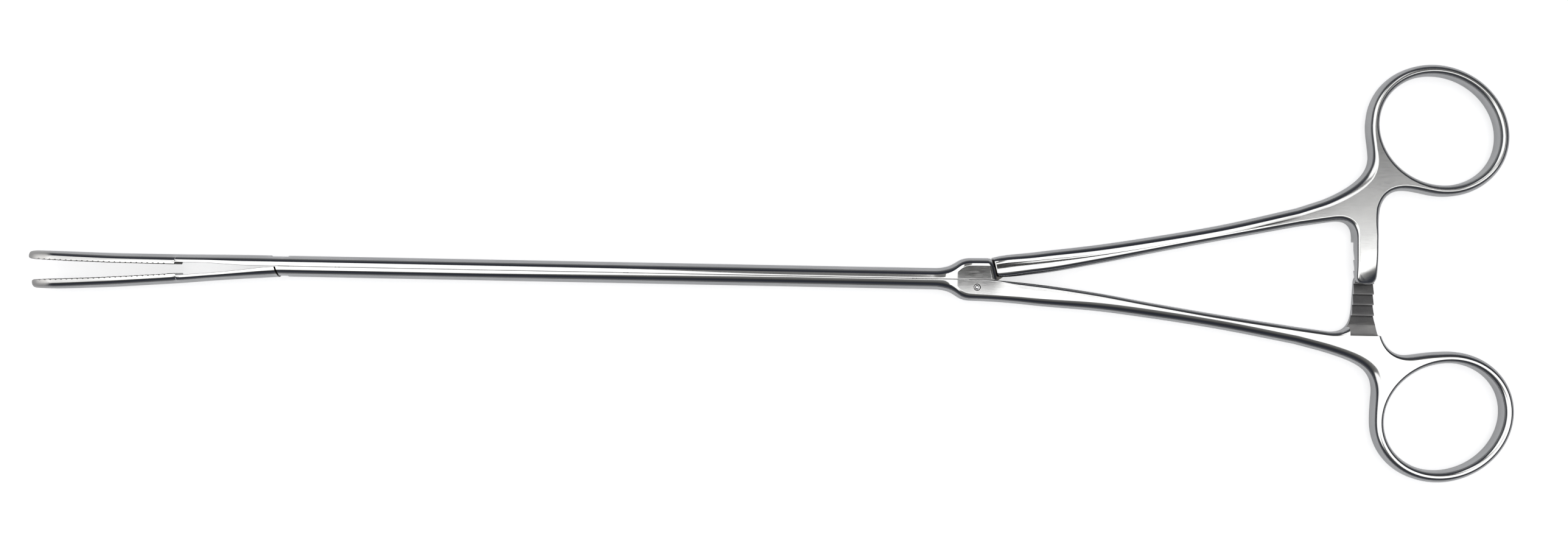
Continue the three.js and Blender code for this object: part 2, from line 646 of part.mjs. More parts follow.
// T-headed stud standing along Y: tail in the lower rod, head in the upper rod's slot.
function guideStud() {
  const profile = [
    [0, STUD_TAIL],
    [STUD_NECK_RADIUS, STUD_TAIL],
    [STUD_NECK_RADIUS, STUD_HEAD_BOTTOM],
    [STUD_HEAD_RADIUS, STUD_HEAD_BOTTOM],
    [STUD_HEAD_RADIUS, STUD_HEAD_TOP - 0.1],
    [STUD_HEAD_RADIUS - 0.1, STUD_HEAD_TOP],
    [0, STUD_HEAD_TOP],
  ];
  return new THREE.LatheGeometry(profile.map(([r, h]) => new THREE.Vector2(r, h)), 12);
}

// ---------------------------------------------------------------- assembly

const tool = new THREE.Group();

function addPiece(name, geometry, look = STEEL) {
  const mesh = new THREE.Mesh(geometry, new THREE.MeshStandardMaterial(look));
  mesh.name = name;
  tool.add(mesh);
  return mesh;
}

addPiece('lower_handle', geometryOf(lowerHandle()));
addPiece('upper_shaft', upperShaft());
addPiece('upper_handle', geometryOf(upperHandle()));

const jaw = addPiece('lower_jaw', lowerJaw());
jaw.position.set(JAW_PIN_X, JAW_PIN_Y, 0);
jaw.rotation.z = JAW_OPEN;

addPiece('handle_pivot_pin', dimpledPin(PIVOT_PIN_RADIUS, PIVOT_PIN_HALF_LENGTH), PIN_STEEL)
  .position.set(0, PIVOT_Y, 0);
addPiece('drive_pin', plainPin(SMALL_PIN_RADIUS, DRIVE_PIN_BOTTOM, DRIVE_PIN_TOP), PIN_STEEL)
  .position.set(0, DRIVE_Y, 0);
addPiece('jaw_pivot_pin', plainPin(SMALL_PIN_RADIUS, JAW_PINS_BOTTOM, JAW_PINS_TOP), PIN_STEEL)
  .position.set(JAW_PIN_X, JAW_PIN_Y, 0);
addPiece('jaw_link_pin', plainPin(SMALL_PIN_RADIUS, JAW_PINS_BOTTOM, JAW_PINS_TOP), PIN_STEEL)
  .position.set(JAW_PIN_X, -JAW_PIN_Y, 0);

for (const [place, x] of Object.entries(STUD_XS)) {
  addPiece(`guide_stud_${place}`, guideStud(), PIN_STEEL).position.set(x, 0, 0);
}

// Origin at the middle of the footprint, on the surface below the tool.
tool.updateMatrixWorld(true);
const bounds = new THREE.Box3().setFromObject(tool, true);
tool.position.set(
  -(bounds.min.x + bounds.max.x) / 2,
  -(bounds.min.y + bounds.max.y) / 2,
  -bounds.min.z,
);

export default tool;
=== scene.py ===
"""Fine visual model, materials and studio for the ring-handled double-shaft forceps."""

import math

import bmesh
import bpy
import numpy as np
from mathutils import Matrix, Vector, geometry, kdtree


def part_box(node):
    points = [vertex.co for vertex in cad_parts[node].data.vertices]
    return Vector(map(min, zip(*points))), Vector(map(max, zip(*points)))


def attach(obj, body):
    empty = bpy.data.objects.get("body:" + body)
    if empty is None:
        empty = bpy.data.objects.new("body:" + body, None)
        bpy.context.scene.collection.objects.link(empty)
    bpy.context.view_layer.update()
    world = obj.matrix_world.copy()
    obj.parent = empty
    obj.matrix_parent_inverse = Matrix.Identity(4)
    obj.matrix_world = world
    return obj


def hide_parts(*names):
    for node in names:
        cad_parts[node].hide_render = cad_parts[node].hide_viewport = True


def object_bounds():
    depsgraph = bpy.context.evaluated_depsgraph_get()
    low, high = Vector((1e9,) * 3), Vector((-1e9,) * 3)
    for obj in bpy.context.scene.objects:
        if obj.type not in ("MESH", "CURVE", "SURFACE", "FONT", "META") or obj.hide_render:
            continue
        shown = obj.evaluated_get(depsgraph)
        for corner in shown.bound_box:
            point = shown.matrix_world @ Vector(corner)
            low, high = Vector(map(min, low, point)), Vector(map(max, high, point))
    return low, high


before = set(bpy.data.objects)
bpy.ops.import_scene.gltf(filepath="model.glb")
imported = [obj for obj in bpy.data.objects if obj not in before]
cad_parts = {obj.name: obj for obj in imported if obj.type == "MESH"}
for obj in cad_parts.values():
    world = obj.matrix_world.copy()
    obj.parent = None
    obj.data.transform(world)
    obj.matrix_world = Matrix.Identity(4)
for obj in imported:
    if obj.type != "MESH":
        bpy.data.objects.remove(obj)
CAD_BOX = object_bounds()

# ------------------------------------------------------------------ frame
# Shapes are drawn in millimetres, as the CAD draws them: x = 0 at the handle pivot, y = 0 on the
# parting plane of the two rods, z = 0 halfway through the thickness.

MM = 0.001
PIVOT_Y = -1.75
pivot_low, pivot_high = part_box("handle_pivot_pin")
PIVOT = (pivot_low + pivot_high) / 2
ORIGIN = Vector((PIVOT.x, PIVOT.y - PIVOT_Y * MM, PIVOT.z))

TIP_X = -216.3
PAD_START_X = TIP_X + 2.2
PAD_END_X = -182.4
JAW_ROOT_X = -166
PAD_PITCH = 1.25
PAD_DEPTH = 0.35
PAD_GAP = 0.1
JAW_BREAK_X = -159.8
JAW_PIN = (-158.2, 1.2)
JAW_OPEN = math.radians(4.5)
SPLIT = 0.03
ROD_HALF = 2.4
BOX_HALF = 2.7
HANDLE_HALF = 2.2
DRIVE_Y = 1.4
SEAM_X = 73.0

# Holes and slots. The moving holes are a little wider than the fixed ones.
SMALL_HOLE = 0.6
SMALL_MOVING_HOLE = 0.63
PIVOT_HOLE = 0.8
PIVOT_MOVING_HOLE = 0.82
JAW_HOLE_TOP = 1.4
DRIVE_HOLE_TOP = 1.9
JAW_SLOT_HALF = 1.0
JAW_SLOT_FRONT = JAW_PIN[0] - 2.9
JAW_SLOT_BACK = JAW_PIN[0] + 1.3
TONGUE_HALF = 0.85
BLADE_SLOT_HALF = 1.1
BLADE_HALF = 0.95
STUD_XS = (-146, -80, -14)
STUD_HOLE = 0.7
STUD_NECK_HALF = 0.75
STUD_HEAD_HALF = 1.15
STUD_HEAD_LOW = 0.73
STUD_SLOT_DEEP = 1.57
STUD_KEY_SHIFT = 3.15
CUT_REACH = 4

# Bevels, as (in the plane of the part, in z), and how finely curves are stepped.
EDGE = (0.1, 0.1)
PAD_EDGE = (0.24, 0.24)
RING_BEVEL = (1.15, 1.75)
HOLE_BEVEL = (1.05, 1.7)
ARM_BEVEL = (0.6, 0.7)
CROWN = 0.026
CROWN_STEPS = 6
GROUND = math.radians(9)
SHARP = math.radians(24)
SUPPORT = 0.05
ARC_STEPS = 12
ROD_SPACING = 1.0
SHANK_SPACING = 1.5
PLATE_SPACING = 0.4

UPPER_RING = {"x": 104.8, "y": 36.0, "a": 13.9, "b": 12.1, "tilt": -26.5, "wall": 2.55}
LOWER_RING = {"x": 107.0, "y": -29.3, "a": 13.8, "b": 12.0, "tilt": 24.0, "wall": 2.635}
ARM_LEFT = 86.4
ARM_RIGHT = 91.35
UPPER_ARM_END = 0.6
LOWER_ARM_END = 2.9
ARM_CORNER = 1.5
ARM_CUT_LEFT = 85.0
UPPER_ARM_CUT_END = 10.2
LOWER_ARM_CUT_END = -11.1
LOWER_ARM_TOP = -0.35
UPPER_ARM_BOTTOM = -0.25
TOOTH_PITCH = 2.43
TOOTH_DEPTH = 0.65
FIRST_TOOTH_Y = 0.94


# ------------------------------------------------------------------ mesh helpers

def new_object(name, vertices, faces):
    """Mesh object from points in millimetres, welded, with its faces turned outwards."""
    mesh = bpy.data.meshes.new(name)
    bm = bmesh.new()
    made = [bm.verts.new(p) for p in vertices]
    for face in faces:
        bm.faces.new([made[i] for i in face])
    bmesh.ops.remove_doubles(bm, verts=bm.verts, dist=1e-3)
    bmesh.ops.recalc_face_normals(bm, faces=bm.faces)
    bm.to_mesh(mesh)
    bm.free()
    obj = bpy.data.objects.new(name, mesh)
    bpy.context.scene.collection.objects.link(obj)
    return obj


def prism(outline, low, high, axis="z"):
    """Closed prism over a 2D outline. Along z the outline is (x, y), along x it is (y, z)."""
    count = len(outline)
    if axis == "z":
        vertices = [(x, y, low) for x, y in outline] + [(x, y, high) for x, y in outline]
    else:
        vertices = [(low, y, z) for y, z in outline] + [(high, y, z) for y, z in outline]
    faces = [list(range(count)), list(range(count, 2 * count))]
    faces += [[i, (i + 1) % count, count + (i + 1) % count, count + i] for i in range(count)]
    return new_object("tool", vertices, faces)


def block(x0, x1, y0, y1, z0, z1):
    return prism([(x0, y0), (x1, y0), (x1, y1), (x0, y1)], z0, z1)


def circle(x, y, radius, sides=40):
    turn = [2 * math.pi * i / sides for i in range(sides)]
    return [(x + radius * math.cos(a), y + radius * math.sin(a)) for a in turn]


def bore(x, y, radius, top=CUT_REACH):
    return prism(circle(x, y, radius), -CUT_REACH, top)


def cross_bore(x, radius, y0, y1):
    """Cylinder along y through (x, 0, 0)."""
    obj = prism(circle(x, 0, radius, 24), -y1, -y0)
    obj.data.transform(Matrix.Rotation(math.radians(90), 4, "X"))
    return obj


def arc(x, y, radius, start, end):
    """Points on a circle between two angles in degrees."""
    angles = [math.radians(start + (end - start) * i / ARC_STEPS) for i in range(ARC_STEPS + 1)]
    return [(x + radius * math.cos(a), y + radius * math.sin(a)) for a in angles]


def combine(target, others, operation):
    """Exact boolean of target with all the others, which are used up."""
    collection = bpy.data.collections.new("operands")
    for other in others:
        for owner in list(other.users_collection):
            owner.objects.unlink(other)
        collection.objects.link(other)
    modifier = target.modifiers.new("combine", "BOOLEAN")
    modifier.operation = operation
    modifier.operand_type = "COLLECTION"
    modifier.collection = collection
    modifier.solver = "EXACT"
    bpy.context.view_layer.update()
    shaped = target.evaluated_get(bpy.context.evaluated_depsgraph_get())
    result = bpy.data.meshes.new_from_object(shaped)
    target.modifiers.clear()
    target.data = result
    for other in others:
        bpy.data.objects.remove(other)
    bpy.data.collections.remove(collection)
    return target


# ------------------------------------------------------------------ lofted bars

def rounded(x, inner, outer, half, inner_round, outer_round, lean=0.0, crown=0.0, crease=GROUND):
    """Station of a bar: inner edge towards the parting plane, outer edge, half thickness, corner
    radii (in y, in z) at the inner and the outer edge, shift in x per millimetre of y, how far
    the middle of the flat stands above its edges, and the angle at which the corner meets it."""
    return [x, inner, outer, half, *inner_round, *outer_round, lean, crown, crease]


def half_round(x, flat, outer, half, lean=0.0, edge=EDGE):
    height = abs(outer - flat) - edge[0] - 0.02
    return rounded(x, flat, outer, half, edge, (height, half - 0.02), lean, crease=0.0)


def smooth_columns(stations, at):
    """Monotone cubic interpolation of every station value at the given x."""
    table = np.array(stations, float)
    xs = table[:, 0]
    step = np.diff(xs)
    slope = np.diff(table, axis=0) / step[:, None]
    tangent = np.zeros_like(table)
    tangent[0], tangent[-1] = slope[0], slope[-1]
    for i in range(1, len(xs) - 1):
        before, after = 2 * step[i] + step[i - 1], step[i] + 2 * step[i - 1]
        same = slope[i - 1] * slope[i] > 0
        low = np.where(same, slope[i - 1], 1.0)
        high = np.where(same, slope[i], 1.0)
        tangent[i] = np.where(same, (before + after) / (before / low + after / high), 0.0)
    i = np.clip(np.searchsorted(xs, at, "right") - 1, 0, len(xs) - 2)
    h = step[i][:, None]
    t = ((at - xs[i]) / step[i])[:, None]
    return (
        (1 + 2 * t) * (1 - t) ** 2 * table[i]
        + t * (1 - t) ** 2 * h * tangent[i]
        + t * t * (3 - 2 * t) * table[i + 1]
        + t * t * (t - 1) * h * tangent[i + 1]
    )


def corner(crease):
    """Shares of a corner's two radii, from the side wall (1, 0) to the flat (0, 1)."""
    last = math.pi / 2 - crease
    angles = [last * i / ARC_STEPS for i in range(ARC_STEPS + 1)]
    floor = math.cos(last)
    return [((math.cos(a) - floor) / (1 - floor), math.sin(a) / math.sin(last)) for a in angles]


def section(station):
    """Closed loop of points of one section, the outer top corner first."""
    x, inner, outer, half, inner_y, inner_z, outer_y, outer_z, lean, crown, crease = station
    side = 1 if outer > inner else -1
    support = min(SUPPORT, (abs(outer - inner) - inner_y - outer_y) / 3)
    edge = half - crown
    rise = [(outer - side * outer_y * (1 - c), edge - outer_z * (1 - s)) for c, s in corner(crease)]
    fall = [(inner + side * inner_y * (1 - c), edge - inner_z * (1 - s)) for c, s in corner(crease)]
    start, end = rise[-1][0] - side * support, fall[-1][0] + side * support
    flat = []
    for i in range(CROWN_STEPS + 1):
        u = i / CROWN_STEPS
        flat.append((start + (end - start) * u, half - crown * (2 * u - 1) ** 2))
    top = rise + flat + fall[::-1]
    loop = top + [(y, -z) for y, z in reversed(top)]
    return [(x + lean * y, y, z) for y, z in loop]


def bar(stations, spacing, open_end=False):
    """Vertices and faces of a bar through its stations, closed at both ends unless open_end."""
    xs = [s[0] for s in stations]
    at = [xs[0]]
    for a, b in zip(xs, xs[1:]):
        parts = max(1, math.ceil((b - a) / spacing))
        at += [a + (b - a) * i / parts for i in range(1, parts + 1)]
    loops = [section(row) for row in smooth_columns(stations, np.array(at))]
    ring = len(loops[0])
    vertices = [p for loop in loops for p in loop]
    faces = []
    for s in range(len(loops) - 1):
        for i in range(ring):
            j = (i + 1) % ring
            faces.append([s * ring + i, s * ring + j, (s + 1) * ring + j, (s + 1) * ring + i])
    faces.append(list(range(ring)))
    if not open_end:
        faces.append(list(range(len(vertices) - ring, len(vertices))))
    return vertices, faces


# ------------------------------------------------------------------ bevelled plates

def bezier(start, a, b, end, steps=24):
    points = geometry.interpolate_bezier(
        Vector((*start, 0)), Vector((*a, 0)), Vector((*b, 0)), Vector((*end, 0)), steps + 1
    )
    return [(p.x, p.y) for p in points]


def ring_point(ring, grow, degrees):
    angle, tilt = math.radians(degrees), math.radians(ring["tilt"])
    u = (ring["a"] + grow) * math.cos(angle)
    v = (ring["b"] + grow) * math.sin(angle)
    return (
        ring["x"] + u * math.cos(tilt) - v * math.sin(tilt),
        ring["y"] + u * math.sin(tilt) + v * math.cos(tilt),
    )


def ring_arc(ring, grow, start, end):
    steps = max(8, round(abs(end - start) / 2.5))
    return [ring_point(ring, grow, start + (end - start) * i / steps) for i in range(steps + 1)]


def resample(points, spacing, closed):
    """Evenly spaced points along a polyline, without its tightest kinks."""
    line = np.array(points + points[:1] if closed else points, float)
    keep = np.r_[True, np.linalg.norm(np.diff(line, axis=0), axis=1) > 1e-6]
    line = line[keep]
    length = np.r_[0, np.cumsum(np.linalg.norm(np.diff(line, axis=0), axis=1))]
    count = round(length[-1] / spacing)
    at = np.linspace(0, length[-1], count + 1)
    even = np.stack([np.interp(at, length, line[:, k]) for k in (0, 1)], axis=1)
    if closed:
        even = even[:-1]
    for _ in range(4):
        relaxed = (np.roll(even, 1, 0) + 2 * even + np.roll(even, -1, 0)) / 4
        if not closed:
            relaxed[0], relaxed[-1] = even[0], even[-1]
        even = relaxed
    return even


def inward(points, closed):
    """Unit vectors to the left of the direction of travel."""
    ahead = np.roll(points, -1, 0) - np.roll(points, 1, 0)
    if not closed:
        ahead[0] = points[1] - points[0]
        ahead[-1] = points[-1] - points[-2]
    left = np.stack([-ahead[:, 1], ahead[:, 0]], axis=1)
    return left / np.linalg.norm(left, axis=1)[:, None]


def average_along(values, width, closed):
    """Running mean of a value along an outline."""
    kernel = np.ones(2 * width + 1) / (2 * width + 1)
    padded = np.pad(values, width, mode="wrap" if closed else "edge")
    return np.convolve(padded, kernel, "valid")


def levels(points, normals, width, height):
    """Top edge loops of the bevel, from the side wall up to the flat, as rows of points."""
    rows = []
    for c, s in corner(GROUND):
        offset = width * (1 - c)
        z = HANDLE_HALF - height * (1 - s)
        rows.append(np.c_[points + normals * offset[:, None], z])
    offset = width + SUPPORT
    rows.append(np.c_[points + normals * offset[:, None], np.full(len(points), HANDLE_HALF)])
    return rows


def inside(point, polygon):
    """True if a 2D point is inside a polygon."""
    x, y = point
    found = False
    for (x0, y0), (x1, y1) in zip(polygon, np.roll(polygon, -1, 0)):
        if (y0 > y) != (y1 > y) and x < (x1 - x0) * (y - y0) / (y1 - y0) + x0:
            found = not found
    return found


def round_tip(row, tip):
    """Lowers the upper face of an arm towards the outer corner of its tip."""
    end, length, share = tip
    across = 0.75 * (ARM_RIGHT - row[:, 0])
    on_arm = row[:, 0] > ARM_LEFT - 2
    along = np.clip((end + length - row[:, 1] - across) / length, 0, 1) * on_arm
    return np.c_[row[:, :2], row[:, 2] * (1 - share * along ** 2)]


def plate(outline, ring, bevels, arm_rows, tip=None):
    """Vertices and faces of ring, arm root and arm, open where the shank joins at SEAM_X.

    The outline runs counter-clockwise and starts and ends at the seam. bevels gives (in the
    plane, in z) for the side it starts on and the side it ends on. arm_rows gives the range of y
    that counts as arm, where the bevel is small. tip gives the end of an arm in y, the length
    over which its upper face is rounded off, and by which share."""
    outer = resample(outline, PLATE_SPACING, closed=False)
    normals = inward(outer, closed=False)
    across = np.where(normals[:, 1] > 0, 1.0, -1.0)
    near_seam = np.clip((outer[:, 0] - SEAM_X) / 8, 0, 1)[:, None]
    normals = normals * near_seam + np.c_[np.zeros(len(outer)), across] * (1 - near_seam)
    normals /= np.linalg.norm(normals, axis=1)[:, None]

    from_ring = np.hypot(outer[:, 0] - ring["x"], outer[:, 1] - ring["y"])
    on_ring = from_ring < ring["a"] + ring["wall"] + 1.0
    on_arm = (outer[:, 0] > ARM_LEFT - 1) & (outer[:, 1] > arm_rows[0]) & (outer[:, 1] < arm_rows[1])
    first_half = np.arange(len(outer)) < len(outer) / 2
    shank_width = np.where(first_half, bevels[0][0], bevels[1][0])
    shank_height = np.where(first_half, bevels[0][1], bevels[1][1])
    width = np.where(on_ring, RING_BEVEL[0], np.where(on_arm, ARM_BEVEL[0], shank_width))
    height = np.where(on_ring, RING_BEVEL[1], np.where(on_arm, ARM_BEVEL[1], shank_height))
    near_end = (outer[:, 0] < SEAM_X + 3) & ~on_ring
    smooth_width = average_along(width, 7, closed=False)
    smooth_height = average_along(height, 7, closed=False)
    width = np.where(near_end, width, smooth_width)
    height = np.where(near_end, height, smooth_height)

    hole = resample(ring_arc(ring, 0, 360, 0)[:-1], PLATE_SPACING, closed=True)
    hole_normals = inward(hole, closed=True)
    hole_width = np.full(len(hole), HOLE_BEVEL[0])
    hole_height = np.full(len(hole), HOLE_BEVEL[1])

    vertices, faces = [], []
    flat_loops = []
    for points, direction, w, h, closed in (
        (outer, normals, width, height, False),
        (hole, hole_normals, hole_width, hole_height, True),
    ):
        top = levels(points, direction, w, h)
        if tip is not None:
            top = [round_tip(row, tip) for row in top]
        bottom = [row * (1, 1, -1) for row in levels(points, direction, w, h)]
        rows = bottom[::-1] + top
        start, count = len(vertices), len(points)
        for row in rows:
            vertices += [tuple(p) for p in row]
        for r in range(len(rows) - 1):
            for i in range(count if closed else count - 1):
                j = (i + 1) % count
                a, b = start + r * count, start + (r + 1) * count
                faces.append([a + i, a + j, b + j, b + i])
        flat_loops.append((start + (len(rows) - 1) * count, start, count))

    rim = [np.array(vertices[top:top + n])[:, :2] for top, _, n in flat_loops]
    ids = [list(range(top, top + n)) for top, _, n in flat_loops]
    low_ids = [list(range(low, low + n)) for _, low, n in flat_loops]
    share = np.arange(1, CROWN_STEPS)[:, None] / CROWN_STEPS
    seam = rim[0][-1] + (rim[0][0] - rim[0][-1]) * share
    rim[0] = np.vstack([rim[0], seam])
    for z, owner in ((HANDLE_HALF, ids), (-HANDLE_HALF, low_ids)):
        owner[0] += range(len(vertices), len(vertices) + len(seam))
        vertices += [(x, y, z) for x, y in seam]
    top_ids, bottom_ids = ids[0] + ids[1], low_ids[0] + low_ids[1]
    edges, first = [], 0
    for loop in rim:
        edges += [(first + i, first + (i + 1) % len(loop)) for i in range(len(loop))]
        first += len(loop)
    flat = [Vector(p) for loop in rim for p in loop]
    _, _, triangles, origin, _, _ = geometry.delaunay_2d_cdt(flat, edges, [], 1, 1e-7)
    for triangle in triangles:
        corners = [origin[i][0] for i in triangle]
        middle = sum((flat[i] for i in corners), Vector((0, 0))) / 3
        if inside(middle, rim[0]) and not inside(middle, rim[1]):
            faces.append([top_ids[i] for i in corners])
            faces.append([bottom_ids[i] for i in corners])
    return vertices, faces


def joined(name, first, second):
    """One welded object from two sets of vertices and faces."""
    shift = len(first[0])
    faces = first[1] + [[i + shift for i in face] for face in second[1]]
    return new_object(name, first[0] + second[0], faces)


# ------------------------------------------------------------------ jaws

def working_line(x):
    """Height of the upper jaw's working face. The closed lower jaw's is PAD_GAP below it."""
    along = min(1.0, max(0.0, (PAD_END_X - x) / (PAD_END_X - TIP_X)))
    return -0.07 + 0.62 * along ** 2.4


def lower_face(x):
    return working_line(x) - PAD_GAP


def comb(face, side):
    """Zigzag prism that cuts the serrations into a working face."""
    start = PAD_START_X
    count = math.floor((PAD_END_X - 0.6 - start) / PAD_PITCH)
    last = start + count * PAD_PITCH
    points = [(last, face(last) - side * 1.5), (start, face(start) - side * 1.5)]
    for i in range(count):
        x = start + i * PAD_PITCH
        middle = x + PAD_PITCH / 2
        points += [(x, face(x) - side * 0.02), (middle, face(middle) + side * PAD_DEPTH)]
    points.append((last, face(last) - side * 0.02))
    return prism(points, -CUT_REACH, CUT_REACH)


def box_stations(side):
    return [
        rounded(-9.0, side * SPLIT, side * 2.45, ROD_HALF, EDGE, (2.25, 2.38)),
        rounded(-6.5, side * SPLIT, side * 2.85, 2.52, EDGE, (2.5, 2.1)),
        rounded(-4.9, side * SPLIT, side * 3.6, BOX_HALF, EDGE, (2.3, 1.95)),
        rounded(-3.4, side * SPLIT, side * 4.5, BOX_HALF, EDGE, (1.9, 1.85)),
        rounded(-1.8, side * SPLIT, side * 4.85, BOX_HALF, EDGE, (1.7, 1.8)),
    ]


def upper_shaft():
    jaw = [
        half_round(TIP_X, 1.05, 1.95, 0.55),
        half_round(TIP_X + 0.25, 0.8, 2.25, 0.9),
        half_round(TIP_X + 0.8, 0.6, 2.42, 1.2),
        half_round(TIP_X + 1.8, working_line(TIP_X + 1.8), 2.5, 1.45, edge=PAD_EDGE),
        half_round(-209, working_line(-209), 2.43, 1.7, edge=PAD_EDGE),
        half_round(-202, working_line(-202), 2.3, 1.95, edge=PAD_EDGE),
        half_round(-195, working_line(-195), 2.21, 2.1, edge=PAD_EDGE),
        half_round(-184, working_line(-184), 2.22, 2.25, edge=PAD_EDGE),
        half_round(PAD_END_X, working_line(PAD_END_X), 2.22, 2.27, edge=PAD_EDGE),
        half_round(PAD_END_X + 0.15, 0.45, 2.22, 2.27),
        half_round(-176, 0.42, 2.28, 2.33),
        half_round(JAW_ROOT_X, SPLIT, 2.36, ROD_HALF),
    ]
    rear = [
        rounded(2.6, SPLIT, 4.9, BOX_HALF, EDGE, (1.7, 1.8), -0.125),
        rounded(3.7, SPLIT, 4.9, BOX_HALF, EDGE, (1.7, 1.8), -0.25),
        rounded(3.8, SPLIT, 4.89, BOX_HALF - 0.02, EDGE, (1.7, 1.8), -0.25),
        rounded(4.3, SPLIT + 0.05, 4.8, BOX_HALF - 0.14, EDGE, (1.65, 1.7), -0.25),
        rounded(4.44, SPLIT + 0.12, 4.7, BOX_HALF - 0.22, EDGE, (1.6, 1.6), -0.25),
        rounded(4.5, SPLIT + 0.25, 4.5, BOX_HALF - 0.4, EDGE, (1.4, 1.2), -0.25),
    ]
    body = new_object("upper_shaft_body", *bar(jaw + box_stations(1) + rear, ROD_SPACING))
    blade_slot = [(-2.2, -1), (7, -1), (7, 3.9), (2.4, 3.9), (1.2, 3.1), (-2.2, 3.1)]
    cuts = [
        comb(working_line, 1),
        block(JAW_SLOT_FRONT, JAW_SLOT_BACK, -1, 3, -JAW_SLOT_HALF, JAW_SLOT_HALF),
        bore(*JAW_PIN, SMALL_HOLE, JAW_HOLE_TOP),
        bore(0, DRIVE_Y, SMALL_HOLE, DRIVE_HOLE_TOP),
        prism(blade_slot, -BLADE_SLOT_HALF, BLADE_SLOT_HALF),
    ]
    for x in STUD_XS:
        key_x = x + STUD_KEY_SHIFT
        neck, head = STUD_NECK_HALF, STUD_HEAD_HALF
        cuts += [
            block(x - 1.1, key_x, 0, STUD_SLOT_DEEP, -neck, neck),
            block(x - 1.5, key_x, STUD_HEAD_LOW, STUD_SLOT_DEEP, -head, head),
            cross_bore(key_x, head, 0, STUD_SLOT_DEEP),
        ]
    return combine(body, cuts, "DIFFERENCE")


def lower_jaw():
    stations = [
        half_round(TIP_X + 0.5, -0.1, -1.1, 0.55),
        half_round(TIP_X + 0.75, 0.15, -1.4, 0.9),
        half_round(TIP_X + 1.3, 0.35, -1.62, 1.2),
        half_round(TIP_X + 2.3, lower_face(TIP_X + 2.3), -1.75, 1.45, edge=PAD_EDGE),
        half_round(-209, lower_face(-209), -2.13, 1.7, edge=PAD_EDGE),
        half_round(-202, lower_face(-202), -2.35, 1.95, edge=PAD_EDGE),
        half_round(-195, lower_face(-195), -2.48, 2.1, edge=PAD_EDGE),
        half_round(-184, lower_face(-184), -2.5, 2.25, edge=PAD_EDGE),
        half_round(PAD_END_X, lower_face(PAD_END_X), -2.5, 2.27, edge=PAD_EDGE),
        half_round(PAD_END_X + 0.15, -0.62, -2.5, 2.27),
        half_round(-174.5, -0.56, -2.38, 2.35),
        half_round(-167.5, -0.32, -2.36, ROD_HALF),
        half_round(-161.5, -SPLIT, -ROD_HALF, ROD_HALF),
        half_round(JAW_BREAK_X - 0.1, -SPLIT, -ROD_HALF, ROD_HALF, -0.2),
    ]
    link = (
        JAW_PIN[0] - 2 * JAW_PIN[1] * math.sin(JAW_OPEN),
        JAW_PIN[1] - 2 * JAW_PIN[1] * math.cos(JAW_OPEN),
    )
    tongue = (
        [(-164.5, -1.9), (-158.9, -2.05)]
        + arc(*link, 0.9, -90, 0)
        + arc(*JAW_PIN, 0.88, 0, 180)
        + [(-159.6, -0.45), (-164.5, -0.9)]
    )
    body = new_object("lower_jaw_body", *bar(stations, ROD_SPACING))
    combine(body, [prism(tongue, -TONGUE_HALF, TONGUE_HALF)], "UNION")
    holes = [bore(*pin, SMALL_MOVING_HOLE) for pin in (JAW_PIN, link)]
    combine(body, [comb(lower_face, -1), *holes], "DIFFERENCE")
    hinge = Vector((*JAW_PIN, 0))
    turn = Matrix.Rotation(JAW_OPEN, 4, "Z")
    body.data.transform(Matrix.Translation(hinge) @ turn @ Matrix.Translation(-hinge))
    return body


# ------------------------------------------------------------------ handles

def gullet(deep_y, shallow_y, surface, depth):
    """Wedge across an arm, deepest at its steep end. A negative depth cuts upwards."""
    side = 1 if depth > 0 else -1
    wedge = [
        (deep_y, surface + side * 2),
        (deep_y, surface - depth),
        (shallow_y, surface),
        (shallow_y, surface + side * 2),
    ]
    return prism(wedge, ARM_CUT_LEFT, ARM_RIGHT + 1, axis="x")


